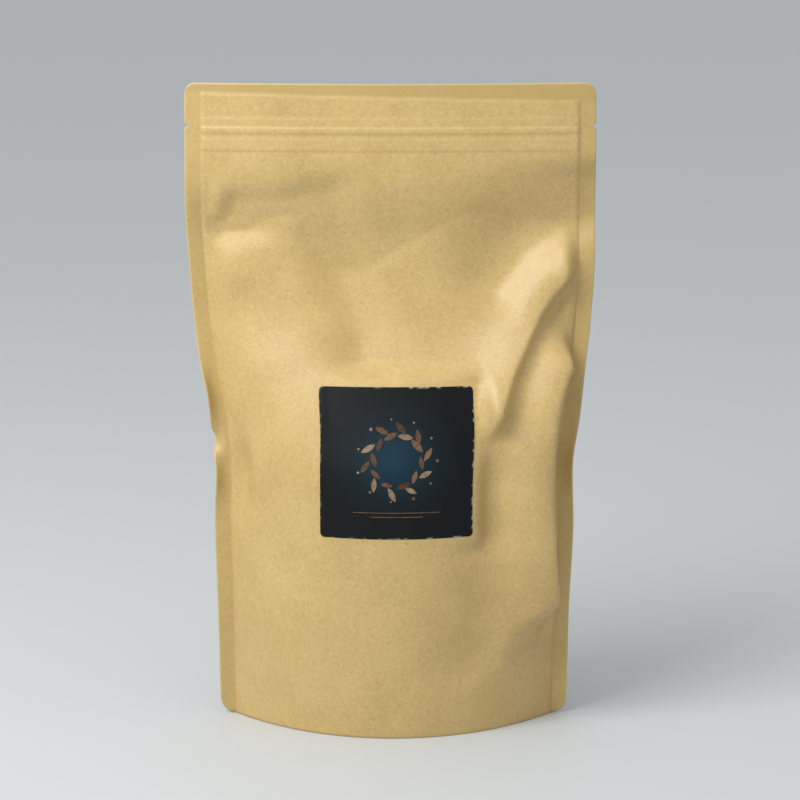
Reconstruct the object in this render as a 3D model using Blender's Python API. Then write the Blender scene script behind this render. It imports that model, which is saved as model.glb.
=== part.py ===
"""A stand-up pouch of kraft paper laminate, filled with dried pods and heat sealed.

Two panels meet in flat seals at the sides and the top. A folded gusset is sealed between them
and opens into the base. A press-to-close zip of two tracks lies under the top seal, a square
label is stuck on the front, and the pods fill the lower two thirds.
Metres, +Z up, front towards -Y, origin on the floor under the middle of the pouch.
"""
import functools
import math
import random

import bmesh
import bpy
import numpy as np
from mathutils import Matrix, Vector

MM = 0.001

# The paper as it was cut and sealed
PANEL_WIDTH = 190 * MM
PANEL_HEIGHT = 300 * MM
SIDE_SEAL = 7.5 * MM
HALF_SPAN = PANEL_WIDTH / 2 - SIDE_SEAL
TOP_CORNER = 5 * MM
BOTTOM_CORNER = 8 * MM
TOP_SEAL_LEFT = 4 * MM
TOP_SEAL_RIGHT = 8 * MM
PAPER = 0.35 * MM
CLEARANCE = 0.3 * MM

# Tear notches in the side seals
NOTCH_HEIGHT = 280.5 * MM
NOTCH_DEPTH = 2 * MM
NOTCH_HALF_MOUTH = 1.2 * MM
NOTCH_REACH = 4 * MM

# The outer edges of the side seals in a front view: (height, place across) in millimetres.
# The paper doesn't stretch, so where the edges come in, the panels bulge.
LEFT_EDGE = [(0, -80.6), (45, -81.2), (90, -82.2), (128, -82.4), (143, -84.0), (158, -86.8),
             (186, -90.8), (214, -93.2), (240, -94.8), (258, -95.0), (300, -95.0)]
RIGHT_EDGE = [(0, 83.4), (45, 84.2), (90, 85.8), (128, 85.9), (143, 88.2), (167, 90.8),
              (191, 93.3), (212, 94.7), (240, 95.0), (300, 95.0)]
BASE_FLATNESS = -0.25
BELLY_FLATNESS = 0.3
FLATNESS_RISE = 90 * MM

# How far the flat top leans back in its middle
TOP_BOW = 4 * MM
BOW_START = 180 * MM

# Half the room between the panels' inner faces
SEAL_GAP = 0.15 * MM
OPEN_GAP = 0.6 * MM
ZIP_GAP = 1.6 * MM
GAP_EASE = 2.5 * MM

# The press-to-close zip
ZIP_HEIGHT = 277 * MM
ZIP_FLANGE = 15.5 * MM
ZIP_FILM = 0.3 * MM
ZIP_END = HALF_SPAN - GAP_EASE

# The gusset: the round seal's height, and how far its floor sags for its span
BOTTOM_SEAL = 6 * MM
ROUND_SEAL_RISE = 44 * MM
ROUND_SEAL_POWER = 1.7
GUSSET_SAG = 0.42
GUSSET_SAG_POWER = 2.5
GUSSET_FILM = 0.3 * MM

# The label on the front
LABEL_WIDTH = 71 * MM
LABEL_HEIGHT = 70 * MM
LABEL_CORNER = 2 * MM
LABEL_PLACE = 1.2 * MM
LABEL_BASE = 95.8 * MM
LABEL_PAPER = 0.3 * MM
LABEL_GAP = 0.35 * MM

# The pods
POD_LENGTH = 29 * MM
POD_WIDTH = 14 * MM
POD_ROWS = 6
POD_COLUMNS = 5
FILL_BASE = 14 * MM
FILL_TOP = 172 * MM
FILL_CLEARANCE = 1.2 * MM
CORE_DEPTH = 8 * MM
CORE_REACH = 60 * MM
CORE_COLUMNS = 6
CORE_ROWS = 5

# Soft dents and swellings, in millimetres: place along the paper, height, half length,
# half width, turn in degrees, rise
FRONT_DENTS = [
    (-52, 250, 30, 7, 9, -2.6),
    (-80, 243, 7, 8, 0, 1.6),
    (-76, 231, 12, 6, 0, -1.2),
    (-74, 213, 14, 20, 70, 2.2),
    (-36, 190, 44, 11, -58, -2.2),
    (48, 226, 32, 20, 35, -4.5),
    (-79, 134, 8, 7, 0, -3.0),
]
TOP_WAVES = [
    (-48, 252, 34, 9, 8, 1.6),
    (58, 246, 34, 14, -6, 1.4),
]
BACK_DENTS = [
    (40, 244, 34, 9, -10, -2.8),
    (-46, 224, 30, 16, 28, -3.6),
    (6, 196, 26, 18, 12, 2.4),
    (72, 190, 12, 26, -20, -2.4),
    (-70, 150, 9, 24, 14, -2.6),
    (24, 120, 34, 22, -30, -1.8),
]

# Long folds, in millimetres: the line as (height, place), width before and after the line, rise
FRONT_FOLDS = [
    ([(110, 38), (140, 42), (165, 49), (190, 62), (215, 80)], 15, 6, 3.2),
    ([(60, 52), (110, 52), (140, 56), (165, 63), (190, 74), (208, 84)], 6, 8, -3.0),
    ([(45, 74), (80, 72), (120, 71), (160, 77), (185, 83)], 8, 7, 2.4),
]
BACK_FOLDS = [
    ([(70, -48), (110, -50), (150, -58), (185, -76)], 9, 8, -2.6),
    ([(60, 58), (100, 60), (140, 66), (170, 78)], 8, 10, 2.4),
]
FOLD_FADE = 22 * MM
DENT_LIMIT = 0.8

# How far from a side seal, the zip, the round seal and the label the paper is free to dent
SEAL_HOLD = 9 * MM
ZIP_HOLD = 14 * MM
GUSSET_HOLD = 26 * MM
LABEL_RIM = 6 * MM
LABEL_HOLD = 12 * MM

# Where the side seals bend towards the front: height, half length in millimetres, degrees
LEFT_SEAL_BENDS = [(156, 13, 34), (134, 5, -38)]
RIGHT_SEAL_BENDS = [(60, 30, -14)]

# The mesh
COLUMNS_ACROSS = 20
SEAL_COLUMNS = [89.8 * MM, 92.2 * MM, 94.2 * MM, 95 * MM]
ROW_STEP = 9.5 * MM
CORNER_ROWS = 15 * MM


def clear_scene():
    for item in list(bpy.data.objects):
        bpy.data.objects.remove(item, do_unlink=True)


def make_material(name, color, roughness):
    material = bpy.data.materials.new(name)
    material.use_nodes = True
    shader = material.node_tree.nodes["Principled BSDF"]
    shader.inputs["Base Color"].default_value = (*color, 1)
    shader.inputs["Roughness"].default_value = roughness
    shader.inputs["Metallic"].default_value = 0
    return material


def add_object(name, mesh, material):
    mesh.materials.append(material)
    item = bpy.data.objects.new(name, mesh)
    bpy.context.scene.collection.objects.link(item)
    return item


def smooth_step(value):
    value = min(max(value, 0), 1)
    return value * value * (3 - 2 * value)


def smooth_through(points, place):
    """A smooth curve through a table of millimetres, read at one place, in metres."""
    places, values = (np.array(points, float) * MM).T
    slopes = np.gradient(values, places)
    i = int(np.clip(np.searchsorted(places, place) - 1, 0, len(places) - 2))
    gap = places[i + 1] - places[i]
    t = min(max((place - places[i]) / gap, 0), 1)
    start = (1 + 2 * t) * (1 - t) ** 2 * values[i] + t * (1 - t) ** 2 * gap * slopes[i]
    end = t * t * (3 - 2 * t) * values[i + 1] - t * t * (1 - t) * gap * slopes[i + 1]
    return start + end


def belly_flatness(height):
    """How much flatter the panel is in its middle than a round arc."""
    rise = smooth_step(height / FLATNESS_RISE)
    return BASE_FLATNESS + (BELLY_FLATNESS - BASE_FLATNESS) * rise


@functools.lru_cache(maxsize=None)
def section(height):
    """The bulged cross-section of the front panel at one height, between its side seals.

    The paper's length stays the same while the seals come together, which gives the angle at
    which it leaves them. Returns tables of paper distance, x, depth and angle.
    """
    left = smooth_through(LEFT_EDGE, height) + SIDE_SEAL
    right = smooth_through(RIGHT_EDGE, height) - SIDE_SEAL
    slack = max(1 - (right - left) / (2 * HALF_SPAN), 0)
    flat = belly_flatness(height)
    lean = 1 - flat
    square = lean ** 2 / 3 + 2 * lean * flat / 5 + flat ** 2 / 7
    fourth = (lean ** 4 / 5 + 4 * lean ** 3 * flat / 7 + 6 * lean ** 2 * flat ** 2 / 9
              + 4 * lean * flat ** 3 / 11 + flat ** 4 / 13)
    first, second = square / 2, fourth / 24
    root_angle = math.sqrt((first - math.sqrt(first ** 2 - 4 * second * slack)) / (2 * second))
    share = np.linspace(-1, 1, 81)
    angle = root_angle * (lean * share + flat * share ** 3)
    step = HALF_SPAN * (share[1] - share[0])
    run = np.concatenate([[0], np.cumsum((np.cos(angle[1:]) + np.cos(angle[:-1])) / 2)]) * step
    sink = np.concatenate([[0], np.cumsum((np.sin(angle[1:]) + np.sin(angle[:-1])) / 2)]) * step
    middle = (left + right) / 2
    return share * HALF_SPAN, run - run[-1] / 2 + middle, -sink, angle


def lean(x, height):
    """How far both panels lean back and wave together near the top."""
    rise = smooth_step((height - BOW_START) / (PANEL_HEIGHT - BOW_START))
    waves = sum(soft_dent(x, height, wave) for wave in TOP_WAVES)
    return TOP_BOW * rise * (1 - (2 * x / PANEL_WIDTH) ** 2) + waves


def top_seal_edge(place):
    """Height of the lower edge of the slanting top seal."""
    share = place / PANEL_WIDTH + 0.5
    return PANEL_HEIGHT - TOP_SEAL_LEFT - (TOP_SEAL_RIGHT - TOP_SEAL_LEFT) * share


def ease_in(distance):
    """0 outside an edge and 1 further inside it than the paper needs to bend."""
    return smooth_step(distance / GAP_EASE)


def half_gap(place, height):
    """Half the room between the two panels beyond their bulge."""
    inside = ease_in(HALF_SPAN - abs(place))
    under_top = ease_in(top_seal_edge(place) - height)
    zip_reach = ZIP_FLANGE / 2 + GAP_EASE
    over_zip = ease_in(zip_reach - abs(height - ZIP_HEIGHT))
    room = OPEN_GAP - SEAL_GAP + (ZIP_GAP - OPEN_GAP) * over_zip
    return SEAL_GAP + inside * under_top * room


def soft_dent(place, height, dent):
    centre, level, length, width, turn, rise = dent
    across, up = place / MM - centre, height / MM - level
    cosine, sine = math.cos(math.radians(turn)), math.sin(math.radians(turn))
    along = (across * cosine + up * sine) / length
    aside = (up * cosine - across * sine) / width
    return rise * MM * math.exp(-along * along - aside * aside)


def long_fold(place, height, fold):
    points, before, after, rise = fold
    low, high = points[0][0] * MM, points[-1][0] * MM
    fade = smooth_step((height - low) / FOLD_FADE + 0.5) * smooth_step((high - height) / FOLD_FADE + 0.5)
    offset = (place - smooth_through(points, height)) / MM
    width = before if offset < 0 else after
    return rise * MM * fade * math.exp(-(offset / width) ** 2)


def relief(place, height, dents, folds):
    """How far the paper stands off its plain bulge. Its seals and its zip hold it to the bulge."""
    free = smooth_step((HALF_SPAN - abs(place)) / SEAL_HOLD)
    free *= smooth_step((ZIP_HEIGHT - ZIP_FLANGE / 2 - height) / ZIP_HOLD)
    free *= smooth_step((height - round_seal(place)) / GUSSET_HOLD)
    beside = abs(place - LABEL_PLACE) - LABEL_WIDTH / 2
    above = abs(height - LABEL_BASE - LABEL_HEIGHT / 2) - LABEL_HEIGHT / 2
    free *= smooth_step((math.hypot(max(beside, 0), max(above, 0)) - LABEL_RIM) / LABEL_HOLD)
    if free == 0:
        return 0
    rises = [soft_dent(place, height, dent) for dent in dents]
    rises += [long_fold(place, height, fold) for fold in folds]
    return free * sum(rises)


def seal_bend(height, bends):
    """Angle at which a side seal bends towards the front."""
    total = sum(angle * math.exp(-((height / MM - level) / length) ** 2) for level, length, angle in bends)
    return math.radians(total)


def panel_point(place, height, side, offset=0):
    """A point of a panel's inner face, from its place along the paper and its height.

    side is -1 for the front panel and 1 for the back one. offset moves the point outwards.
    """
    distances, xs, depths, angles = section(round(height, 7))
    inner = min(max(place, -HALF_SPAN), HALF_SPAN)
    x = float(np.interp(inner, distances, xs))
    depth = float(np.interp(inner, distances, depths))
    angle = float(np.interp(inner, distances, angles))
    dents, folds = (FRONT_DENTS, FRONT_FOLDS) if side < 0 else (BACK_DENTS, BACK_FOLDS)
    rise = relief(place, height, dents, folds)
    out = half_gap(place, height) + max(rise, -DENT_LIMIT * depth) + offset
    beyond = abs(place) - HALF_SPAN
    if beyond >= 0:
        bend = seal_bend(height, RIGHT_SEAL_BENDS if place > 0 else LEFT_SEAL_BENDS)
        bend *= smooth_step(beyond / SIDE_SEAL)
        mitre = math.tan(abs(angle) / 2) * out * (1 - beyond / SIDE_SEAL)
        x += math.copysign(beyond * math.cos(bend) + mitre, place)
        y = -beyond * math.sin(bend) + side * out
    else:
        x += math.sin(angle) * out
        y = side * (depth + math.cos(angle) * out)
    return Vector((x, y + lean(x, height), height))


def corner_lift(place, radius):
    """How far a rounded corner rises above its edge at a place along the paper."""
    beyond = abs(place) - (PANEL_WIDTH / 2 - radius)
    if beyond <= 0:
        return 0
    return radius - math.sqrt(max(radius ** 2 - beyond ** 2, 0))


def row_height(place, row):
    """Height of a mesh row at a place, pressed in towards the rounded corners."""
    low = corner_lift(place, BOTTOM_CORNER) * max(1 - row / (2 * CORNER_ROWS), 0)
    high = corner_lift(place, TOP_CORNER) * max(1 - (PANEL_HEIGHT - row) / CORNER_ROWS, 0)
    return row + low - high


def notched(place, height):
    """Draws the edge of the side seal in where the tear notch is."""
    start = PANEL_WIDTH / 2 - NOTCH_REACH
    mouth = max(1 - abs(height - NOTCH_HEIGHT) / NOTCH_HALF_MOUTH, 0)
    beyond = abs(place) - start
    if mouth == 0 or beyond <= 0:
        return place
    return math.copysign(start + beyond * (1 - NOTCH_DEPTH * mouth / NOTCH_REACH), place)


def open_columns():
    """Places of the mesh columns between the side seals."""
    inner = HALF_SPAN - GAP_EASE
    return [inner * (2 * i / COLUMNS_ACROSS - 1) for i in range(COLUMNS_ACROSS + 1)]


def column_places():
    edge = [HALF_SPAN] + SEAL_COLUMNS
    return [-place for place in reversed(edge)] + open_columns() + edge


def row_heights():
    zip_low = ZIP_HEIGHT - ZIP_FLANGE / 2 - GAP_EASE
    count = round(zip_low / ROW_STEP)
    rows = [zip_low * i / count for i in range(count + 1)]
    rows += [4 * MM, zip_low + GAP_EASE, NOTCH_HEIGHT - NOTCH_HALF_MOUTH, NOTCH_HEIGHT]
    rows += [NOTCH_HEIGHT + NOTCH_HALF_MOUTH, ZIP_HEIGHT + ZIP_FLANGE / 2]
    rows += [288.5 * MM, 292 * MM, 296 * MM, 298.5 * MM, PANEL_HEIGHT]
    return sorted(rows)


def make_sheet(name, under, over, material, turn_from=None, looks_back=False):
    """A thin closed sheet between two grids of points, one for each of its faces.

    All sheets are cut into triangles alike, so that they lie parallel where they touch. From row
    turn_from on, a sheet runs back down and is cut the other way. Rows run upwards and columns
    to the right on a sheet whose over face looks to the front.
    """
    last_row, last_column = len(under) - 1, len(under[0]) - 1
    width = last_column + 1
    layer = width * (last_row + 1)
    faces = []
    for j in range(last_row):
        for i in range(last_column):
            corner = j * width + i
            ring = [corner, corner + 1, corner + width + 1, corner + width]
            if turn_from is not None and j >= turn_from:
                ring = ring[1:] + ring[:1]
            for face in ([ring[0], ring[1], ring[2]], [ring[0], ring[2], ring[3]]):
                faces.append(face[::-1])
                faces.append([point + layer for point in face])
    rim = list(range(last_column)) + [j * width + last_column for j in range(last_row)]
    rim += [last_row * width + i for i in range(last_column, 0, -1)]
    rim += [j * width for j in range(last_row, 0, -1)]
    for here, following in zip(rim, rim[1:] + rim[:1]):
        faces.append([here, following, following + layer, here + layer])
    if looks_back:
        faces = [face[::-1] for face in faces]
    mesh = bpy.data.meshes.new(name)
    mesh.from_pydata([point for grid in (under, over) for row in grid for point in row], [], faces)
    mesh.shade_smooth()
    mesh.set_sharp_from_angle(angle=math.radians(40))
    add_object(name, mesh, material)


def make_panel(name, side, material):
    faces = []
    for offset in (0, PAPER):
        grid = []
        for row in row_heights():
            spots = [(notched(column, row), row_height(column, row)) for column in column_places()]
            grid.append([panel_point(place, height, side, offset) for place, height in spots])
        faces.append(grid)
    make_sheet(name, faces[0], faces[1], material, looks_back=side > 0)


def round_seal(place):
    """Height of the round seal that joins the gusset to a panel."""
    share = min(abs(place) / HALF_SPAN, 1)
    return BOTTOM_SEAL + ROUND_SEAL_RISE * share ** ROUND_SEAL_POWER


def gusset_floor(place, share, half_depth):
    """Height of the gusset's floor, share of the way from its middle to its seal."""
    sag = GUSSET_SAG * half_depth
    return max(round_seal(place) - sag * (1 - abs(share) ** GUSSET_SAG_POWER), 0)


def mitre(before, point, after):
    """Offset, in y and z, that gives a bent line of the gusset its thickness on its left."""
    normals = []
    for start, end in ((before, point), (point, after)):
        run = Vector((end.y - start.y, end.z - start.z)).normalized()
        normals.append(Vector((-run.y, run.x)))
    total = normals[0] + normals[1]
    return total * GUSSET_FILM / (1 + normals[0].dot(normals[1]))


def gusset_lines(place):
    """Both faces of the gusset at one place: up the front skirt, over the floor, down the back."""
    high = round_seal(place)
    skirt = [high * i / 4 for i in range(5)]
    inwards = -(CLEARANCE + GUSSET_FILM)
    front = [panel_point(place, height, -1, inwards) for height in skirt]
    back = [panel_point(place, height, 1, inwards) for height in skirt]
    floor = []
    for share in (-0.9, -0.7, -0.5, -0.25, 0, 0.25, 0.5, 0.7, 0.9):
        point = front[-1].lerp(back[-1], (1 + share) / 2)
        point.z = gusset_floor(place, share, (back[-1] - front[-1]).length / 2)
        floor.append(point)
    under = front + floor + back[::-1]
    heights = skirt[:-1] + [high + mitre(front[-2], front[-1], floor[0])[1]]
    front_over = [panel_point(place, height, -1, -CLEARANCE) for height in heights]
    back_over = [panel_point(place, height, 1, -CLEARANCE) for height in heights]
    floor_over = []
    for k in range(len(front), len(front) + len(floor)):
        shift = mitre(under[k - 1], under[k], under[k + 1])
        floor_over.append(under[k] + Vector((0, shift.x, shift.y)))
    return under, front_over + floor_over + back_over[::-1]


def make_gusset(material):
    lines = [gusset_lines(place) for place in open_columns()]
    under = list(zip(*[line[0] for line in lines]))
    over = list(zip(*[line[1] for line in lines]))
    make_sheet("bottom_gusset", under, over, material, turn_from=len(under) // 2)


def sweep_profile(name, profile, material):
    """Runs a profile of (y, z) points along the zip from one side seal to the other."""
    sheet = bmesh.new()
    stations = [ZIP_END * (2 * i / COLUMNS_ACROSS - 1) for i in range(COLUMNS_ACROSS + 1)]
    rings = []
    for x in stations:
        ring = []
        for y, z in profile:
            ring.append(sheet.verts.new((x, y * MM + lean(x, ZIP_HEIGHT + z * MM), ZIP_HEIGHT + z * MM)))
        rings.append(ring)
    for ring, following in zip(rings, rings[1:]):
        for i in range(len(ring)):
            j = (i + 1) % len(ring)
            sheet.faces.new((ring[i], ring[j], following[j], following[i]))
    sheet.faces.new(rings[0])
    sheet.faces.new(rings[-1])
    bmesh.ops.recalc_face_normals(sheet, faces=sheet.faces)
    mesh = bpy.data.meshes.new(name)
    sheet.to_mesh(mesh)
    sheet.free()
    add_object(name, mesh, material)


def make_zip(material):
    """The front track carries a channel with lips, the back one an arrow-headed tongue."""
    flange = ZIP_FLANGE / 2 / MM
    outer = (ZIP_GAP - CLEARANCE) / MM
    inner = outer - ZIP_FILM / MM
    half_channel = [(-inner, 1.25), (0.55, 1.25), (0.55, 0.45), (0.25, 0.45), (0.25, 0.75), (-inner, 0.75)]
    lower = [(y, -z) for y, z in reversed(half_channel)]
    channel = [(-outer, flange), (-inner, flange)] + half_channel + lower
    channel += [(-inner, -flange), (-outer, -flange)]
    half_tongue = [(inner, 0.15), (-0.05, 0.15), (-0.05, 0.45), (-0.6, 0.12)]
    lower = [(y, -z) for y, z in reversed(half_tongue)]
    tongue = [(outer, flange), (inner, flange)] + half_tongue + lower
    tongue += [(inner, -flange), (outer, -flange)]
    sweep_profile("zip_track_front", channel, material)
    sweep_profile("zip_track_back", tongue, material)


def spread(length, count):
    """Places from one edge of the label to the other, with one at each rounded corner's start."""
    half = length / 2
    inner = half - LABEL_CORNER
    return [-half] + [inner * (2 * i / count - 1) for i in range(count + 1)] + [half]


def make_label(material):
    corner_pull = LABEL_CORNER * (1 - math.sqrt(0.5))
    middle = LABEL_BASE + LABEL_HEIGHT / 2
    faces = []
    for thickness in (0, LABEL_PAPER):
        grid = []
        for up in spread(LABEL_HEIGHT, 8):
            line = []
            for across in spread(LABEL_WIDTH, 8):
                at_corner = abs(up) == LABEL_HEIGHT / 2 and abs(across) == LABEL_WIDTH / 2
                pull = corner_pull if at_corner else 0
                place = LABEL_PLACE + across - math.copysign(pull, across)
                height = middle + up - math.copysign(pull, up)
                line.append(panel_point(place, height, -1, PAPER + LABEL_GAP + thickness))
            grid.append(line)
        faces.append(grid)
    make_sheet("front_label", faces[0], faces[1], material)


def paper_place(x, height):
    """The place along the paper that lies at x."""
    distances, xs, _, _ = section(round(height, 7))
    return float(np.interp(x, xs, distances))


def keep_inside(point):
    """Presses a point of a pod back from the paper and the gusset."""
    height = min(max(point.z, 1 * MM), PANEL_HEIGHT)
    place = paper_place(point.x, height)
    front = panel_point(place, height, -1, -FILL_CLEARANCE).y
    back = panel_point(place, height, 1, -FILL_CLEARANCE).y
    y = min(max(point.y, front), back)
    half = (back - front) / 2
    share = min(abs(y - (front + back) / 2) / half, 1)
    floor = gusset_floor(place, share, half) + GUSSET_FILM + FILL_CLEARANCE
    return Vector((point.x, y, max(point.z, floor)))


def spindle(length, width, sides=6, rings=3):
    """A pod: a closed spindle along X with blunt ends."""
    pod = bmesh.new()
    start = pod.verts.new((-length / 2, 0, 0))
    end = pod.verts.new((length / 2, 0, 0))
    hoops = []
    for j in range(1, rings + 1):
        angle = math.pi * j / (rings + 1)
        x, radius = -math.cos(angle) * length / 2, math.sin(angle) ** 0.8 * width / 2
        hoop = []
        for i in range(sides):
            turn = 2 * math.pi * i / sides
            hoop.append(pod.verts.new((x, math.cos(turn) * radius, math.sin(turn) * radius)))
        hoops.append(hoop)
    for i in range(sides):
        j = (i + 1) % sides
        pod.faces.new((start, hoops[0][j], hoops[0][i]))
        pod.faces.new((end, hoops[-1][i], hoops[-1][j]))
        for hoop, following in zip(hoops, hoops[1:]):
            pod.faces.new((hoop[i], hoop[j], following[j], following[i]))
    bmesh.ops.recalc_face_normals(pod, faces=pod.faces)
    return pod


def fill_core():
    """The middle of the heap, which every pod is sunk into: rings inside the bulge, closed flat."""
    core = bmesh.new()
    places = [CORE_REACH * (2 * i / CORE_COLUMNS - 1) for i in range(CORE_COLUMNS + 1)]
    rings = []
    for j in range(CORE_ROWS + 1):
        height = FILL_BASE + (FILL_TOP - FILL_BASE) * j / CORE_ROWS
        front = [panel_point(place, height, -1, -CORE_DEPTH) for place in places]
        back = [panel_point(place, height, 1, -CORE_DEPTH) for place in reversed(places)]
        rings.append([core.verts.new(keep_inside(point)) for point in front + back])
    for ring, following in zip(rings, rings[1:]):
        for i in range(len(ring)):
            j = (i + 1) % len(ring)
            core.faces.new((ring[i], ring[j], following[j], following[i]))
    core.faces.new(rings[0])
    core.faces.new(rings[-1])
    bmesh.ops.recalc_face_normals(core, faces=core.faces)
    return core


def settle(points, pod):
    """Moves a whole pod inwards until none of its points is beyond the paper or the gusset."""
    for _ in range(3):
        pushes = [keep_inside(point) - point for point in points]
        shift = Vector([max((push[axis] for push in pushes), key=abs) for axis in range(3)])
        points = [point + shift for point in points]
    for vertex, point in zip(pod.verts, points):
        vertex.co = point


def make_fill(material):
    """A heap of pods against both panels, over the base and over the top, joined in one body."""
    draw = random.Random(7)
    spots = []
    for side in (-1, 1):
        for row in range(POD_ROWS):
            for column in range(POD_COLUMNS):
                across = (column - (POD_COLUMNS - 1) / 2 + (row % 2 - 0.5) * 0.4) * 27 * MM
                height = FILL_BASE + 14 * MM + row * 25 * MM
                spots.append((across, height, side))
    pods = bpy.data.collections.new("loose_pods")
    bpy.context.scene.collection.children.link(pods)
    for number, (across, height, side) in enumerate(spots):
        level = height + draw.uniform(-3, 3) * MM
        middle = panel_point(across, level, side, -(POD_WIDTH / 2 + FILL_CLEARANCE))
        turn = Matrix.Rotation(draw.uniform(-1.2, 1.2), 4, "Y")
        pod = spindle(POD_LENGTH * draw.uniform(0.9, 1.08), POD_WIDTH)
        settle([turn @ vertex.co + middle for vertex in pod.verts], pod)
        mesh = bpy.data.meshes.new(f"pod_{number}")
        pod.to_mesh(mesh)
        pod.free()
        pods.objects.link(bpy.data.objects.new(f"pod_{number}", mesh))
    core = fill_core()
    mesh = bpy.data.meshes.new("pod_fill")
    core.to_mesh(mesh)
    core.free()
    heap = add_object("pod_fill", mesh, material)
    union = heap.modifiers.new("Join", "BOOLEAN")
    union.operation = "UNION"
    union.operand_type = "COLLECTION"
    union.collection = pods
    union.solver = "EXACT"
    evaluated = heap.evaluated_get(bpy.context.evaluated_depsgraph_get())
    joined = bpy.data.meshes.new_from_object(evaluated)
    heap.modifiers.remove(union)
    heap.data = joined
    for pod in list(pods.objects):
        bpy.data.objects.remove(pod, do_unlink=True)
    bpy.data.collections.remove(pods)


def build():
    clear_scene()
    paper = make_material("kraft_paper", (0.62, 0.47, 0.25), 0.62)
    film = make_material("clear_film", (0.80, 0.79, 0.74), 0.35)
    label = make_material("label_print", (0.025, 0.032, 0.034), 0.42)
    husk = make_material("pod_husk", (0.13, 0.075, 0.045), 0.8)
    make_panel("front_panel", -1, paper)
    make_panel("back_panel", 1, paper)
    make_gusset(paper)
    make_zip(film)
    make_label(label)
    make_fill(husk)


build()
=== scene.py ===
"""The look of a filled stand-up pouch of kraft paper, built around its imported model."""
import math

import bpy
import numpy as np
from mathutils import Matrix, Vector, noise


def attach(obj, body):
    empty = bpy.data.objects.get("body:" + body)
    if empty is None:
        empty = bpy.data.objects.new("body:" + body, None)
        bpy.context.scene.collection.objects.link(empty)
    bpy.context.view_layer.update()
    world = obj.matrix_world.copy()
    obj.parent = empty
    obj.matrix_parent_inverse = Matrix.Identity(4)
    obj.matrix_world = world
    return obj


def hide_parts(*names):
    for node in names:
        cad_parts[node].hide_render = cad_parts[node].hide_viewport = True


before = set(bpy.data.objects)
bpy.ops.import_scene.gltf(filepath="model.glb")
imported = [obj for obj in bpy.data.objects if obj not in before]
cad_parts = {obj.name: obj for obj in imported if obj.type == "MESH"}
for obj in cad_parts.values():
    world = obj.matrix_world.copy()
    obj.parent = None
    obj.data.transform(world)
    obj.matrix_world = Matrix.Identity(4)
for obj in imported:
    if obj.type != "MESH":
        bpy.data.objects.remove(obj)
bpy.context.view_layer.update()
MM = 0.001


# Studio
# A pale table top under soft light, with the camera a little above the pouch, in front of it.

CAMERA_AIM = Vector((4.5, 0, 152.8)) * MM
CAMERA_DISTANCE = 1.6
CAMERA_ELEVATION = math.radians(12.5)
CAMERA_LENS = 154.3
SENSOR = 36


def make_camera():
    data = bpy.data.cameras.new("camera")
    data.lens = CAMERA_LENS
    data.sensor_width = SENSOR
    camera = bpy.data.objects.new("camera", data)
    back = Vector((0, -math.cos(CAMERA_ELEVATION), math.sin(CAMERA_ELEVATION)))
    camera.location = CAMERA_AIM + back * CAMERA_DISTANCE
    camera.rotation_euler = (math.pi / 2 - CAMERA_ELEVATION, 0, 0)
    bpy.context.scene.collection.objects.link(camera)
    bpy.context.scene.camera = camera


def place_light(name, data, azimuth, elevation, distance):
    """Azimuth 0 is in front of the pouch and -90 on its left."""
    light = bpy.data.objects.new(name, data)
    turn, rise = math.radians(azimuth), math.radians(elevation)
    away = Vector((math.sin(turn) * math.cos(rise), -math.cos(turn) * math.cos(rise), math.sin(rise)))
    light.location = Vector((0, 0, CAMERA_AIM.z)) + away * distance
    light.rotation_euler = away.to_track_quat("Z", "Y").to_euler()
    bpy.context.scene.collection.objects.link(light)


def make_soft_box(name, azimuth, elevation, distance, size, power, color):
    data = bpy.data.lights.new(name, "AREA")
    data.size = size
    data.energy = power
    data.color = color
    place_light(name, data, azimuth, elevation, distance)


def make_even_light(name, azimuth, elevation, width, strength, color):
    """A light from far off, width degrees wide."""
    data = bpy.data.lights.new(name, "SUN")
    data.angle = math.radians(width)
    data.energy = strength
    data.color = color
    place_light(name, data, azimuth, elevation, 2)


def make_world(color, strength):
    world = bpy.data.worlds.new("studio")
    world.use_nodes = True
    sky = world.node_tree.nodes["Background"]
    sky.inputs["Color"].default_value = (*color, 1)
    sky.inputs["Strength"].default_value = strength
    bpy.context.scene.world = world


def make_floor():
    """A wide table top. It stands a little under the pouch, so that nothing flickers."""
    half, drop = 6, 0.1 * MM
    corners = [(x, y, -drop) for x, y in ((-half, -half), (half, -half), (half, half), (-half, half))]
    mesh = bpy.data.meshes.new("table_top")
    mesh.from_pydata(corners, [], [(0, 1, 2, 3)])
    material = bpy.data.materials.new("table_top")
    material.use_nodes = True
    shader = material.node_tree.nodes["Principled BSDF"]
    shader.inputs["Base Color"].default_value = (0.56, 0.585, 0.60, 1)
    shader.inputs["Roughness"].default_value = 0.6
    mesh.materials.append(material)
    floor = bpy.data.objects.new("table_top", mesh)
    bpy.context.scene.collection.objects.link(floor)


bpy.context.scene.view_settings.view_transform = "Standard"
make_camera()
make_soft_box("window", -48, 43, 1.3, 0.8, 14.5, (1.0, 0.985, 0.96))
make_even_light("overhead", -20, 80, 60, 0.5, (1.0, 0.99, 0.97))
make_world((0.95, 0.975, 1.0), 0.56)
make_floor()


# Panels
# Two sheets of kraft paper laminate, sealed to each other down both sides and along the top.
# Each one bulges over the pods. The paper can't stretch, so where the side seals are drawn in,
# it stands out by what its length asks for, and dents where the pods leave it slack.

PANEL_WIDTH = 190 * MM
PANEL_HEIGHT = 300 * MM
SIDE_SEAL = 7.5 * MM
HALF_SPAN = PANEL_WIDTH / 2 - SIDE_SEAL
TOP_CORNER = 5 * MM
BOTTOM_CORNER = 8 * MM
TOP_SEAL_LEFT = 4 * MM
TOP_SEAL_RIGHT = 8 * MM
PAPER = 0.22 * MM
CORNER_ROWS = 15 * MM

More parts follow.
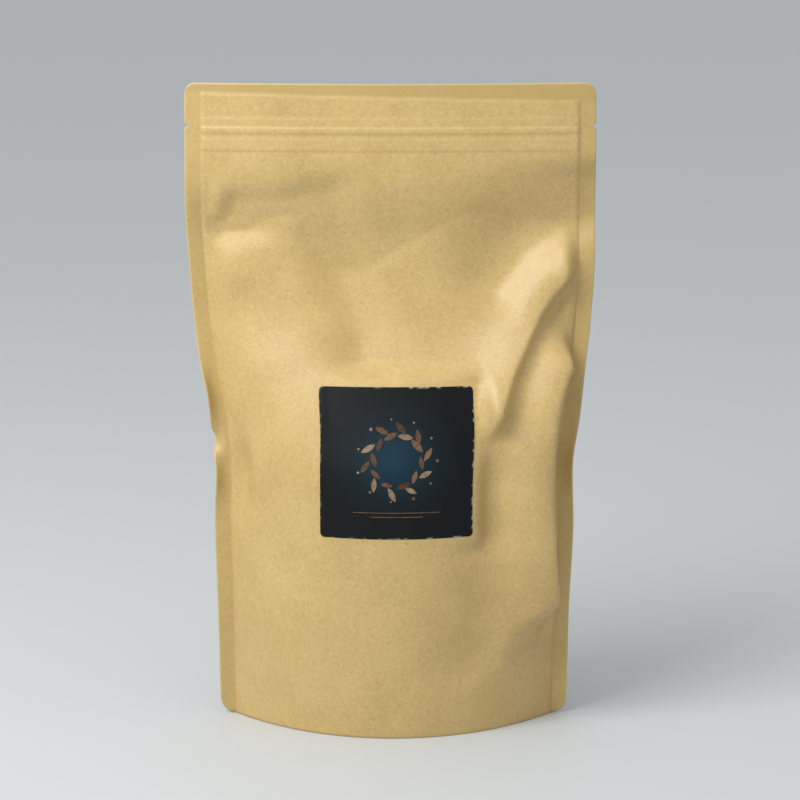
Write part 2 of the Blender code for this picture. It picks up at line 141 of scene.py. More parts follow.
NOTCH_HEIGHT = 280.5 * MM
NOTCH_DEPTH = 2 * MM
NOTCH_HALF_MOUTH = 1.2 * MM
NOTCH_REACH = 4 * MM

# The outer edges of the side seals in a front view: (height, place across) in millimetres
LEFT_EDGE = [(0, -80.6), (45, -81.2), (90, -82.2), (128, -82.4), (143, -84.0), (158, -86.8),
             (186, -90.8), (214, -93.2), (240, -94.8), (258, -95.0), (300, -95.0)]
RIGHT_EDGE = [(0, 83.4), (45, 84.2), (90, 85.8), (128, 85.9), (143, 88.2), (167, 90.8),
              (191, 93.3), (212, 94.7), (240, 95.0), (300, 95.0)]
# How much slack the paper has, as a share of its width, before the bulge has fully set in
SLACK_EASE = 0.002
# How flat the bulge is across its middle, by height in millimetres
FLATNESS = [(0, -0.25), (60, -0.1), (110, 0.0), (160, 0.5), (210, 0.9), (300, 0.9)]
# The middle of the pouch seen from the side, as (height, place towards the back): the belly sits
# forward, the empty part above the pods sways back, and the zip and the top lean back, straight
CENTRE_LINE = [(0, 2.0), (30, -0.5), (60, -2), (100, -2), (150, 1), (200, 6.5), (228, 4.2), (250, 0.2),
               (262, 0.6), (275, 2.6), (288, 4.6), (300, 6.45)]
# Seen from above, the top is bent: its ends stand this far behind its middle
TOP_BOW = 5.5 * MM
BOW_START = 190 * MM
BOW_EASE = 75 * MM

# Half the room between the panels: welded in the seals, open elsewhere, and over the zip
SEAL_GAP = 0.04 * MM
OPEN_GAP = 0.5 * MM
SEAL_STEP = 0.7 * MM
ZIP_HEIGHT = 277 * MM
ZIP_FLANGE = 15.5 * MM
# What the zip lifts the paper by, in millimetres: where that starts and ends below the top, how
# soon it rises, and its height, for the flange, the profile and the thicker foot
ZIP_LIFTS = [(15.3, 31, 0.8, 0.18), (19.4, 23.2, 1.1, 0.42), (24.6, 31, 0.9, 0.16)]

# The gusset's paper, and the round seal that joins it to a panel
GUSSET_PAPER = 0.2 * MM
BOTTOM_SEAL = 6 * MM
ROUND_SEAL_RISE = 44 * MM
ROUND_SEAL_POWER = 1.7

# The label keeps the paper under it flat
LABEL_WIDTH = 71 * MM
LABEL_HEIGHT = 68 * MM
LABEL_PLACE = 1.2 * MM
LABEL_BASE = 95.8 * MM

# How far from a side seal, the zip, the round seal and the label the paper is free to dent
SEAL_HOLD = 9 * MM
ZIP_HOLD = 14 * MM
GUSSET_HOLD = 24 * MM
LABEL_RIM = 1 * MM
LABEL_HOLD = 9 * MM
DENT_LIMIT = 0.8

# Soft dents and swellings, in millimetres: place along the paper, height, half length,
# half width, turn in degrees, rise
FRONT_DENTS = [
    (-80, 245, 7, 8, 0, 3.0),
    (-70, 233, 16, 6, 0, -2.2),
    (-74, 216, 14, 16, 70, 2.4),
    (-58, 243, 24, 7, 6, -1.8),
    (-80, 120, 8, 16, 0, -4.0),
]
BACK_DENTS = [
    (40, 244, 34, 9, -10, -2.8),
    (-46, 224, 30, 16, 28, -3.6),
    (6, 196, 26, 18, 12, 2.4),
    (72, 190, 12, 26, -20, -2.4),
    (-70, 150, 9, 24, 14, -2.6),
    (24, 120, 34, 22, -30, -1.8),
]

# Long folds, in millimetres: a line of (place, height) points from its lower end up, the widths of
# the fold to the left and to the right of it, its rise, and how round it is (2 soft, 1 sharp)
FRONT_FOLDS = [
    ([(32, 160), (36, 172), (41, 184), (48, 204), (62, 223), (73, 230), (88, 238)], 22, 15, -4.2, 2),
    ([(43, 136), (49, 156), (55, 171), (65, 190), (79, 209), (97, 230)], 24, 5, 9.0, 1.3),
    ([(46, 80), (48, 110), (51, 135), (57, 157), (66, 184), (76, 200), (89, 212)], 14, 9, -4.6, 2),
    ([(44, 12), (46, 40), (48, 80), (50, 110), (52, 136)], 22, 14, -3.2, 2),
    ([(89, 12), (78, 50), (72.5, 80), (70.5, 115), (70.5, 145), (77, 168), (88, 184)], 19, 6.5, 14.0, 1.5),
    ([(-11, 150), (-13, 180), (-17, 196), (-22, 212), (-27, 226), (-31, 246)], 14, 50, -6.6, 2),
]
# The same for both panels at once, above the pods. Its rise is towards the back.
TOP_FOLDS = [
    ([(40, 190), (48, 204), (62, 223), (78, 233), (100, 243), (125, 252)], 26, 12, 6.6, 2),
    ([(-95, 243), (-70, 244), (-50, 245), (-34, 248), (-10, 252)], 8, 40, 3.0, 2),
]
BACK_FOLDS = [
    ([(-48, 70), (-50, 110), (-58, 150), (-76, 185)], 9, 8, -2.6, 2),
    ([(58, 60), (60, 100), (66, 140), (78, 170)], 8, 10, 2.4, 2),
]
FOLD_FADE = 18 * MM
FOLD_STEPS = 60
BULGE_STEPS = 8

# Where the side seals bend towards the front: height, half length in millimetres, degrees
LEFT_SEAL_BENDS = [(156, 13, 34), (134, 5, -38), (117, 12, 24)]
RIGHT_SEAL_BENDS = [(60, 30, -14), (124, 15, 16)]

# Small ripples all over the paper: shortest and longest wave in millimetres, and their rise
RIPPLE_SHORT, RIPPLE_LONG = 11, 42
RIPPLE_COUNT = 60
RIPPLE_RISE = 0.16 * MM


def smooth_step(value):
    value = np.clip(value, 0, 1)
    return value * value * (3 - 2 * value)


def smooth_through(points, place):
    """A smooth curve through a table of millimetres, read at many places, in metres."""
    places, values = (np.array(points, float) * MM).T
    slopes = np.gradient(values, places)
    i = np.clip(np.searchsorted(places, place) - 1, 0, len(places) - 2)
    gap = places[i + 1] - places[i]
    t = np.clip((place - places[i]) / gap, 0, 1)
    start = (1 + 2 * t) * (1 - t) ** 2 * values[i] + t * (1 - t) ** 2 * gap * slopes[i]
    end = t * t * (3 - 2 * t) * values[i + 1] - t * t * (1 - t) * gap * slopes[i + 1]
    return start + end


def bulge(place, height):
    """The plain bulge of the front panel: x, depth and angle at places along its paper.

    The paper's length between the side seals stays the same while they come together, which
    gives the angle at which it leaves them.
    """
    left = smooth_through(LEFT_EDGE, height) + SIDE_SEAL
    right = smooth_through(RIGHT_EDGE, height) - SIDE_SEAL
    slack = np.maximum(1 - (right - left) / (2 * HALF_SPAN), 0)
    slack = slack ** 2 / (slack + SLACK_EASE)
    flat = smooth_through(FLATNESS, height) / MM
    lean = 1 - flat
    square = lean ** 2 / 3 + 2 * lean * flat / 5 + flat ** 2 / 7
    fourth = (lean ** 4 / 5 + 4 * lean ** 3 * flat / 7 + 6 * lean ** 2 * flat ** 2 / 9
              + 4 * lean * flat ** 3 / 11 + flat ** 4 / 13)
    first, second = square / 2, fourth / 24
    root_angle = np.sqrt((first - np.sqrt(first ** 2 - 4 * second * slack)) / (2 * second))
    share = np.clip(place / HALF_SPAN, -1, 1)
    spots, weights = np.polynomial.legendre.leggauss(BULGE_STEPS)
    run = np.zeros_like(share)
    depth = np.zeros_like(share)
    for spot, weight in zip((spots + 1) / 2, weights / 2):
        from_middle = share * spot
        run += weight * np.cos(root_angle * (lean * from_middle + flat * from_middle ** 3))
        to_seal = np.abs(share) + (1 - np.abs(share)) * spot
        depth += weight * np.sin(root_angle * (lean * to_seal + flat * to_seal ** 3))
    x = (left + right) / 2 + share * HALF_SPAN * run
    depth *= (1 - np.abs(share)) * HALF_SPAN
    return x, depth, root_angle * (lean * share + flat * share ** 3)


def soft_dent(place, height, dent):
    centre, level, length, width, turn, rise = dent
    across, up = place / MM - centre, height / MM - level
    cosine, sine = math.cos(math.radians(turn)), math.sin(math.radians(turn))
    along = (across * cosine + up * sine) / length
    aside = (up * cosine - across * sine) / width
    return rise * MM * np.exp(-along ** 2 - aside ** 2)


def fold_line(points):
    """A smooth line through a fold's points: its own points, directions and distances run."""
    count = np.arange(len(points), dtype=float)
    steps = np.linspace(0, len(points) - 1, FOLD_STEPS)
    across, up = np.array(points, float).T
    line = [smooth_through(np.stack([count, values], -1), steps * MM) for values in (across, up)]
    line = np.stack(line, -1)
    way = np.gradient(line, axis=0)
    stride = np.hypot(*way.T)
    run = np.concatenate([[0], np.cumsum((stride[1:] + stride[:-1]) / 2)])
    return line, way / stride[:, None], run


def long_fold(place, height, fold):
    points, to_left, to_right, rise, roundness = fold
    line, way, run = fold_line(points)
    across = place[..., None] - line[:, 0]
    up = height[..., None] - line[:, 1]
    nearest = np.argmin(across ** 2 + up ** 2, axis=-1)[..., None]
    across, up = (np.take_along_axis(values, nearest, axis=-1)[..., 0] for values in (across, up))
    way, run_there = way[nearest[..., 0]], run[nearest[..., 0]]
    aside = across * way[..., 1] - up * way[..., 0]
    along = run_there + across * way[..., 0] + up * way[..., 1]
    fade = smooth_step(along / FOLD_FADE) * smooth_step((run[-1] - along) / FOLD_FADE)
    width = np.where(aside < 0, to_left, to_right) * MM
    return rise * MM * fade * np.exp(-np.abs(aside / width) ** roundness)


def ripples(place, height, seed):
    """A field of small soft ripples, made of waves in random directions."""
    draw = np.random.RandomState(seed)
    total = np.zeros_like(place)
    for _ in range(RIPPLE_COUNT):
        length = draw.uniform(RIPPLE_SHORT, RIPPLE_LONG) * MM
        turn, phase = draw.uniform(0, math.pi), draw.uniform(0, 2 * math.pi)
        along = place * math.cos(turn) + height * math.sin(turn)
        total += (length / (RIPPLE_LONG * MM)) ** 1.5 * np.sin(2 * math.pi * along / length + phase)
    return RIPPLE_RISE * total / math.sqrt(RIPPLE_COUNT / 2)


def round_seal(place):
    share = np.minimum(np.abs(place) / HALF_SPAN, 1)
    return BOTTOM_SEAL + ROUND_SEAL_RISE * share ** ROUND_SEAL_POWER


def under_zip(height):
    """0 at the zip and above it, which hold the paper straight, easing to 1 below."""
    return smooth_step((ZIP_HEIGHT - ZIP_FLANGE / 2 - height) / ZIP_HOLD)


def paper_freedom(place, height):
    """0 where a seal, the zip or the label holds the paper to its plain bulge, 1 well away."""
    free = smooth_step((HALF_SPAN - np.abs(place)) / SEAL_HOLD) * under_zip(height)
    free = free * smooth_step((height - round_seal(place)) / GUSSET_HOLD)
    beside = np.maximum(np.abs(place - LABEL_PLACE) - LABEL_WIDTH / 2, 0)
    above = np.maximum(np.abs(height - LABEL_BASE - LABEL_HEIGHT / 2) - LABEL_HEIGHT / 2, 0)
    return free * smooth_step((np.hypot(beside, above) - LABEL_RIM) / LABEL_HOLD)


def relief(place, height, side):
    dents, folds, seed = (FRONT_DENTS, FRONT_FOLDS, 3) if side < 0 else (BACK_DENTS, BACK_FOLDS, 5)
    total = sum(soft_dent(place, height, dent) for dent in dents)
    total = total + sum(long_fold(place, height, fold) for fold in folds)
    return paper_freedom(place, height) * (total + ripples(place, height, seed))


def lean_back(x, height):
    folds = sum(long_fold(x, height, fold) for fold in TOP_FOLDS)
    bow = TOP_BOW * (x / (PANEL_WIDTH / 2)) ** 2 * smooth_step((height - BOW_START) / BOW_EASE)
    return smooth_through(CENTRE_LINE, height) + folds * under_zip(height) + bow


def top_seal_edge(place):
    share = place / PANEL_WIDTH + 0.5
    return PANEL_HEIGHT - TOP_SEAL_LEFT - (TOP_SEAL_RIGHT - TOP_SEAL_LEFT) * share


def between(value, low, high, ease):
    """1 between two limits, easing to 0 just inside them."""
    return smooth_step((value - low) / ease) * smooth_step((high - value) / ease)


def half_gap(place, height):
    """Half the room between the panels beyond their bulge: seals, zip flange and zip profile."""
    below_top = PANEL_HEIGHT - height
    room = OPEN_GAP + sum(lift * MM * between(below_top, low * MM, high * MM, ease * MM)
                          for low, high, ease, lift in ZIP_LIFTS)
    inside = smooth_step((HALF_SPAN - np.abs(place)) / SEAL_STEP)
    under_top = smooth_step((top_seal_edge(place) - height) / SEAL_STEP)
    over_gusset = smooth_step((height - BOTTOM_SEAL - ROUND_SEAL_RISE) / SEAL_STEP - 1)
    welded = SEAL_GAP + (SEAL_GAP + GUSSET_PAPER) * (1 - over_gusset)
    return welded + inside * under_top * (room - welded)


def seal_bend(height, bends):
    total = sum(angle * np.exp(-((height / MM - level) / length) ** 2) for level, length, angle in bends)
    return np.radians(total)


def panel_points(place, height, side, offset=0):
    """Points of a panel's inner face, or beyond it by offset. side is -1 in front and 1 behind."""
    x, depth, angle = bulge(place, height)
    rise = np.maximum(relief(place, height, side), -DENT_LIMIT * depth)
    out = half_gap(place, height) + rise + offset
    beyond = np.abs(place) - HALF_SPAN
    in_seal = beyond >= 0
    bends = np.where(place > 0, seal_bend(height, RIGHT_SEAL_BENDS), seal_bend(height, LEFT_SEAL_BENDS))
    bends = bends * smooth_step(beyond / SIDE_SEAL)
    mitre = np.tan(np.abs(angle) / 2) * out * (1 - beyond / SIDE_SEAL)
    x_seal = x + np.sign(place) * (beyond * np.cos(bends) + mitre)
    y_seal = -beyond * np.sin(bends) + side * out
    x = np.where(in_seal, x_seal, x + np.sin(angle) * out)
    y = np.where(in_seal, y_seal, side * (depth + np.cos(angle) * out))
    return np.stack([x, y + lean_back(x, height), height], axis=-1)


def corner_lift(place, radius):
    beyond = np.clip(np.abs(place) - (PANEL_WIDTH / 2 - radius), 0, radius)
    return radius - np.sqrt(radius ** 2 - beyond ** 2)


def rounded_rows(place, row):
    """Heights of rows that are pressed in towards the rounded corners."""
    low = corner_lift(place, BOTTOM_CORNER) * np.maximum(1 - row / (2 * CORNER_ROWS), 0)
    high = corner_lift(place, TOP_CORNER) * np.maximum(1 - (PANEL_HEIGHT - row) / CORNER_ROWS, 0)
    return row + low - high


def panel_grid(columns, rows):
    """Place and height of a panel's points, with rounded corners and tear notches."""
    place, row = np.meshgrid(columns, rows)
    height = rounded_rows(place, row)
    start = PANEL_WIDTH / 2 - NOTCH_REACH
    mouth = np.maximum(1 - np.abs(height - NOTCH_HEIGHT) / NOTCH_HALF_MOUTH, 0)
    beyond = np.maximum(np.abs(place) - start, 0)
    return place - np.sign(place) * beyond * NOTCH_DEPTH / NOTCH_REACH * mouth, height


def even_steps(stops, step):
    """Places from the first stop to the last, with one on each stop and no gap over step."""
    places = [stops[0]]
    for start, end in zip(stops, stops[1:]):
        count = max(math.ceil((end - start) / step), 1)
        places += [start + (end - start) * i / count for i in range(1, count + 1)]
    return np.array(places)


def sheet_mesh(name, under, over, looks_back=False):
    """A thin closed sheet between two grids of points, one for each of its faces."""
    rows, width = under.shape[:2]
    layer = rows * width
    corner = (np.arange(rows - 1)[:, None] * width + np.arange(width - 1)).ravel()
    cells = np.stack([corner, corner + 1, corner + width + 1, corner + width], axis=-1)
    rim = list(range(width - 1)) + [j * width + width - 1 for j in range(rows - 1)]
    rim += [(rows - 1) * width + i for i in range(width - 1, 0, -1)]
    rim += [j * width for j in range(rows - 1, 0, -1)]
    rim = np.array(rim)
    following = np.roll(rim, -1)
    edge = np.stack([rim, following, following + layer, rim + layer], axis=-1)
    faces = np.concatenate([cells[:, [0, 3, 2, 1]], cells + layer, edge])
    if looks_back:
        faces = faces[:, ::-1]
    mesh = bpy.data.meshes.new(name)
    points = np.concatenate([under.reshape(-1, 3), over.reshape(-1, 3)])
    mesh.from_pydata(points.tolist(), [], faces.tolist())
    mesh.shade_smooth()
    return mesh


def set_attribute(mesh, name, values):
    layer = mesh.attributes.new(name, "FLOAT", "POINT")
    layer.data.foreach_set("value", np.asarray(values, dtype=np.float32))


def add_piece(name, mesh, material, slot, *nodes):
    mesh.materials.append(material)
    piece = bpy.data.objects.new(name, mesh)
    bpy.context.scene.collection.objects.link(piece)
    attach(piece, "root")
    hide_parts(*nodes)
    return piece


def feed(tree, socket, value):
    """Gives a socket its value, which is a plain one or the output of another node."""
    if isinstance(value, bpy.types.NodeSocket):
        tree.links.new(value, socket)
    else:
        socket.default_value = value


def add_node(tree, kind, values=None, **settings):
    """A node with its settings, and with values for its sockets by name or number."""
    node = tree.nodes.new(kind)
    for name, setting in settings.items():
        setattr(node, name, setting)
    for socket, value in (values or {}).items():
        feed(tree, node.inputs[socket], value)
    return node


def add_math(tree, operation, *values):
    return add_node(tree, "ShaderNodeMath", dict(enumerate(values)), operation=operation).outputs[0]


def add_noise(tree, place, scale, detail, roughness=0.5):
    values = {"Vector": place, "Scale": scale, "Detail": detail, "Roughness": roughness}
    return add_node(tree, "ShaderNodeTexNoise", values).outputs["Fac"]


def add_range(tree, value, start, end, low=0, high=1):
    """Turns a value that runs from start to end into one from low to high, and stops it there."""
    values = {"Value": value, "From Min": start, "From Max": end, "To Min": low, "To Max": high}
    return add_node(tree, "ShaderNodeMapRange", values).outputs[0]


def add_ramp(tree, factor, stops):
    ramp = add_node(tree, "ShaderNodeValToRGB", {"Fac": factor})
    elements = ramp.color_ramp.elements
    while len(elements) < len(stops):
        elements.new(0.5)
    for element, (position, color) in zip(elements, stops):
        element.position = position
        element.color = (*color, 1)
    return ramp.outputs["Color"]


def make_fibre_group():
    """Kraft pulp: soft clouds, small mottles, and light and dark fibres lying in all directions."""
    group = bpy.data.node_groups.new("kraft_fibres", "ShaderNodeTree")
    face = group.interface
    face.new_socket("Position", in_out="INPUT", socket_type="NodeSocketVector")
    for name, value in (("Cloud Scale", 38), ("Mottle Scale", 420), ("Fibre Scale", 2400)):
        face.new_socket(name, in_out="INPUT", socket_type="NodeSocketFloat").default_value = value
    for name in ("Tone", "Pale Fibres", "Dark Fibres", "Height"):
        face.new_socket(name, in_out="OUTPUT", socket_type="NodeSocketFloat")
    given = group.nodes.new("NodeGroupInput").outputs
    result = group.nodes.new("NodeGroupOutput").inputs
    cloud = add_noise(group, given["Position"], given["Cloud Scale"], 3, 0.55)
    mottle = add_noise(group, given["Position"], given["Mottle Scale"], 4, 0.7)
    fibres = []
    for turn in (0.35, 1.4, 2.5):
        stretch = {"Vector": given["Position"], "Rotation": (0.2, turn, 0), "Scale": (8, 1, 1)}
        place = add_node(group, "ShaderNodeMapping", stretch, vector_type="TEXTURE").outputs["Vector"]
        fibres.append(add_noise(group, place, given["Fibre Scale"], 1, 0.4))
    peak = add_math(group, "MAXIMUM", add_math(group, "MAXIMUM", fibres[0], fibres[1]), fibres[2])
    pit = add_math(group, "MINIMUM", add_math(group, "MINIMUM", fibres[0], fibres[1]), fibres[2])
    tone = add_node(group, "ShaderNodeMix", {0: 0.55, 2: cloud, 3: mottle})
    height = add_node(group, "ShaderNodeMix", {0: 0.5, 2: mottle, 3: peak})
    feed(group, result["Tone"], tone.outputs[0])
    feed(group, result["Pale Fibres"], add_range(group, peak, 0.66, 0.80))
    feed(group, result["Dark Fibres"], add_range(group, pit, 0.33, 0.22))
    feed(group, result["Height"], height.outputs[0])
    return group


FIBRES = make_fibre_group()


def new_material(name, **values):
    """An empty material with a Principled BSDF whose plain values are set on its own sockets."""
    material = bpy.data.materials.new(name)
    material.use_nodes = True
    shader = material.node_tree.nodes["Principled BSDF"]
    for socket, value in values.items():
        shader.inputs[socket.replace("_", " ")].default_value = value
    return material, material.node_tree, shader


def blend_color(tree, factor, first, second):
    """Mixes two colours, each a plain colour or an output, by a varying factor."""
    mix = add_node(tree, "ShaderNodeMix", {"Factor": factor}, data_type="RGBA")
    for socket, color in ((mix.inputs[6], first), (mix.inputs[7], second)):
        feed(tree, socket, (*color, 1) if isinstance(color, tuple) else color)
    return mix.outputs[2]


def add_bump(tree, shader, height, strength, distance):
    values = {"Height": height, "Strength": strength, "Distance": distance}
    feed(tree, shader.inputs["Normal"], add_node(tree, "ShaderNodeBump", values).outputs["Normal"])


def make_kraft():
    material, tree, shader = new_material("kraft_paper", Specular_IOR_Level=0.6)
    place = add_node(tree, "ShaderNodeTexCoord").outputs["Object"]
    pulp = add_node(tree, "ShaderNodeGroup", node_tree=FIBRES)
    feed(tree, pulp.inputs["Position"], place)
    tone = add_ramp(tree, pulp.outputs["Tone"], [
        (0.36, (0.500, 0.345, 0.125)), (0.50, (0.555, 0.390, 0.145)), (0.64, (0.605, 0.435, 0.172))])
    tone = blend_color(tree, pulp.outputs["Pale Fibres"], tone, (0.66, 0.50, 0.23))
    tone = blend_color(tree, pulp.outputs["Dark Fibres"], tone, (0.42, 0.275, 0.090))
    # A darker tone of the paper where a mesh marks it, in the seals and the gusset, and a paler one along cut
    # edges
    for mark, color in (("darker_paper", (0.47, 0.325, 0.105)), ("cut_edge", (0.68, 0.55, 0.30))):
        share = add_node(tree, "ShaderNodeAttribute", attribute_name=mark).outputs["Fac"]
        tone = blend_color(tree, share, tone, color)
    feed(tree, shader.inputs["Base Color"], tone)
    feed(tree, shader.inputs["Roughness"], add_range(tree, pulp.outputs["Tone"], 0.3, 0.7, 0.36, 0.48))
    add_bump(tree, shader, pulp.outputs["Height"], 0.35, 0.25 * MM)
    return material


KRAFT = make_kraft()

# Steps between a panel's points: rows stand closer from under the zip up, and columns across the
# side seals have places of their own
FINE_STEP = 1.3 * MM
ZIP_STEP = 0.55 * MM
TOP_STEP = 0.8 * MM
ZIP_ROWS_START = 262 * MM
ZIP_ROWS_END = 287 * MM
SEAL_COLUMNS = [HALF_SPAN + 0.4 * MM, 90 * MM, 92.5 * MM, 94.2 * MM, PANEL_WIDTH / 2]
# How much darker the paper is made in the top seal and in the side seals, and how pale the outer face is
# along a cut edge
TOP_DARKER = 0.75
SIDE_DARKER = 0.35
OUTER_CUT = 0.55


def make_panel(name, side, node):
    step = FINE_STEP
    body = [-HALF_SPAN, -HALF_SPAN + SEAL_STEP, HALF_SPAN - SEAL_STEP, HALF_SPAN]
    columns = even_steps([-place for place in reversed(SEAL_COLUMNS)] + body + SEAL_COLUMNS, step)
    notch = [NOTCH_HEIGHT - NOTCH_HALF_MOUTH, NOTCH_HEIGHT, NOTCH_HEIGHT + NOTCH_HALF_MOUTH]
    rows = np.concatenate([even_steps([0, ZIP_ROWS_START], step),
                           even_steps([ZIP_ROWS_START, *notch, ZIP_ROWS_END], ZIP_STEP)[1:],
                           even_steps([ZIP_ROWS_END, PANEL_HEIGHT], TOP_STEP)[1:]])
    place, height = panel_grid(columns, rows)
    inner, outer = (panel_points(place, height, side, offset) for offset in (0, PAPER))
    mesh = sheet_mesh(name, inner, outer, looks_back=side > 0)
    in_top = smooth_step((height - top_seal_edge(place)) / SEAL_STEP + 1)
    in_side = smooth_step((np.abs(place) - HALF_SPAN) / SEAL_STEP + 1)
    # The seals are made darker, the top seal more than the side seals
    darker_paper = np.maximum(TOP_DARKER * in_top, SIDE_DARKER * in_side).ravel()
    set_attribute(mesh, "darker_paper", np.concatenate([darker_paper, darker_paper]))
    rim = np.zeros(place.shape)
    rim[0, :] = rim[-1, :] = rim[:, 0] = rim[:, -1] = 1
    set_attribute(mesh, "cut_edge", np.concatenate([rim.ravel(), OUTER_CUT * rim.ravel()]))
    return add_piece(name, mesh, KRAFT, "kraft_paper", node)


make_panel("front_paper", -1, "front_panel")
make_panel("back_paper", 1, "back_panel")


# Bottom gusset
# A third sheet of the same paper, folded up between the panels. The round seal and the side seals
# hold it, and the weight of the pods spreads its fold into a floor.

GUSSET_SAG = 0.42
GUSSET_SAG_POWER = 2.5
GUSSET_SOFTNESS = 1.5 * MM
SKIRT_ROWS = 24
FLOOR_ROWS = 44
GUSSET_STEP = 1.8 * MM
GUSSET_DARKER = 0.2


def gusset_floor(place, share, half_depth):
    """Height of the gusset's floor, share of the way from its middle to its seal."""
    sag = GUSSET_SAG * half_depth * (1 - np.abs(share) ** GUSSET_SAG_POWER)
    high = round_seal(place) - sag
    return (high + np.sqrt(high ** 2 + GUSSET_SOFTNESS ** 2)) / 2


def gusset_face(places, thickness):
    """One face of the gusset: up the front skirt, over the floor and down the back skirt."""
    inwards = -(SEAL_GAP + GUSSET_PAPER - thickness)
    top = round_seal(places) + thickness
    place, row = np.meshgrid(places, np.linspace(0, 1, SKIRT_ROWS + 1))
    height = rounded_rows(place, row * top)
    front = panel_points(place, height, -1, inwards)
    back = panel_points(place, height, 1, inwards)
    share = np.linspace(-1, 1, FLOOR_ROWS + 1)[1:-1, None]
    floor = front[-1] + (back[-1] - front[-1]) * ((share + 1) / 2)[..., None]
    half_depth = (back[-1, :, 1] - front[-1, :, 1]) / 2
    floor[..., 2] = gusset_floor(places, share, half_depth) + thickness
    return np.concatenate([front, floor, back[::-1]])


def make_gusset():
    step = GUSSET_STEP
    half = even_steps([0, 60 * MM, HALF_SPAN - SEAL_STEP, HALF_SPAN, 90 * MM, 92.5 * MM, 95 * MM], step)
    places = np.concatenate([-half[:0:-1], half])
    mesh = sheet_mesh("gusset_paper", gusset_face(places, 0), gusset_face(places, GUSSET_PAPER))
    # The whole gusset is made a little darker
    set_attribute(mesh, "darker_paper", np.full(len(mesh.vertices), GUSSET_DARKER))
    return add_piece("gusset_paper", mesh, KRAFT, "kraft_paper", "bottom_gusset")


make_gusset()


# Press-to-close zip
# Two tracks of clear film, extruded and then welded inside the panels by their broad flanges. The
# front one has a channel with lips, and the back one a tongue with an arrow head that snaps in.

ZIP_END = HALF_SPAN - 1.2 * MM
ZIP_FILM = 0.15 * MM
TRACK_STATIONS = 140
# How far above and below the zip its lean is read
LEAN_REACH = 5 * MM


def grown_mesh(base, tree, **values):
    """The plain mesh that a tree of geometry nodes grows from a base mesh."""
    item = bpy.data.objects.new(base.name, base)
    bpy.context.scene.collection.objects.link(item)
    modifier = item.modifiers.new("grow", "NODES")
    modifier.node_group = tree
    for socket in tree.interface.items_tree:
        key = socket.name.replace(" ", "_")
        if socket.in_out == "INPUT" and key in values:
            modifier[socket.identifier] = values[key]
    evaluated = item.evaluated_get(bpy.context.evaluated_depsgraph_get())
    mesh = bpy.data.meshes.new_from_object(evaluated)
    item.modifiers.remove(modifier)
    bpy.data.objects.remove(item)
    return mesh


def new_tree(name, **inputs):
    """A tree of geometry nodes with named inputs, given as name=(socket kind, plain value)."""
    tree = bpy.data.node_groups.new(name, "GeometryNodeTree")
    tree.interface.new_socket("Geometry", in_out="INPUT", socket_type="NodeSocketGeometry")
    for key, (kind, value) in inputs.items():
        socket = tree.interface.new_socket(key.replace("_", " "), in_out="INPUT",
                                           socket_type="NodeSocket" + kind)
        if value is not None:
            socket.default_value = value
    tree.interface.new_socket("Geometry", in_out="OUTPUT", socket_type="NodeSocketGeometry")
    return tree, tree.nodes.new("NodeGroupInput").outputs


def end_tree(tree, geometry, material):
    """Ends a tree as every one here ends: real faces, one material, out."""
    real = add_node(tree, "GeometryNodeRealizeInstances", {"Geometry": geometry}).outputs[0]
    painted = add_node(tree, "GeometryNodeSetMaterial", {"Geometry": real, "Material": material})
    feed(tree, tree.nodes.new("NodeGroupOutput").inputs[0], painted.outputs[0])


def add_vector(tree, x=0, y=0, z=0):
    return add_node(tree, "ShaderNodeCombineXYZ", {"X": x, "Y": y, "Z": z}).outputs[0]


def split_position(tree):
    place = add_node(tree, "GeometryNodeInputPosition").outputs[0]
    return add_node(tree, "ShaderNodeSeparateXYZ", {"Vector": place}).outputs


def make_track_tree():
    """Runs a closed profile in the XY plane along the zip, and leans it with the top of the pouch."""
    tree, given = new_tree("zip_track", Half_Length=("Float", ZIP_END), Stations=("Int", TRACK_STATIONS),
                           Height=("Float", ZIP_HEIGHT), Back=("Float", 0), Lean=("Float", 0),
                           Bow=("Float", 0), Material=("Material", None))
    start = add_vector(tree, add_math(tree, "MULTIPLY", given["Half Length"], -1), 0, given["Height"])
    end = add_vector(tree, given["Half Length"], 0, given["Height"])
    path = add_node(tree, "GeometryNodeCurvePrimitiveLine", {"Start": start, "End": end}).outputs[0]
    path = add_node(tree, "GeometryNodeResampleCurve", {"Curve": path, "Count": given["Stations"]}).outputs[0]
    path = add_node(tree, "GeometryNodeSetCurveNormal", {"Curve": path}, mode="Z_UP").outputs[0]
    ring = add_node(tree, "GeometryNodeMeshToCurve", {"Mesh": given["Geometry"]}).outputs[0]
    track = add_node(tree, "GeometryNodeCurveToMesh",
                     {"Curve": path, "Profile Curve": ring, "Fill Caps": True})
    x, _, z = split_position(tree)
    above = add_math(tree, "SUBTRACT", z, given["Height"])
    back = add_math(tree, "MULTIPLY_ADD", above, given["Lean"], given["Back"])
    share = add_math(tree, "DIVIDE", x, given["Half Length"])
    back = add_math(tree, "MULTIPLY_ADD", add_math(tree, "MULTIPLY", share, share), given["Bow"], back)
    bent = add_node(tree, "GeometryNodeSetPosition",
                    {"Geometry": track.outputs[0], "Offset": add_vector(tree, 0, back)})
    end_tree(tree, bent.outputs[0], given["Material"])
    return tree


def make_film():
    material, tree, shader = new_material("clear_film", Roughness=0.3, IOR=1.5)
    haze = add_noise(tree, add_node(tree, "ShaderNodeTexCoord").outputs["Object"], 900, 2)
    tone = add_ramp(tree, haze, [(0.3, (0.70, 0.70, 0.66)), (0.7, (0.86, 0.85, 0.81))])
    feed(tree, shader.inputs["Base Color"], tone)
    add_bump(tree, shader, haze, 0.2, 0.1 * MM)
    return material


TRACK_TREE = make_track_tree()
FILM = make_film()


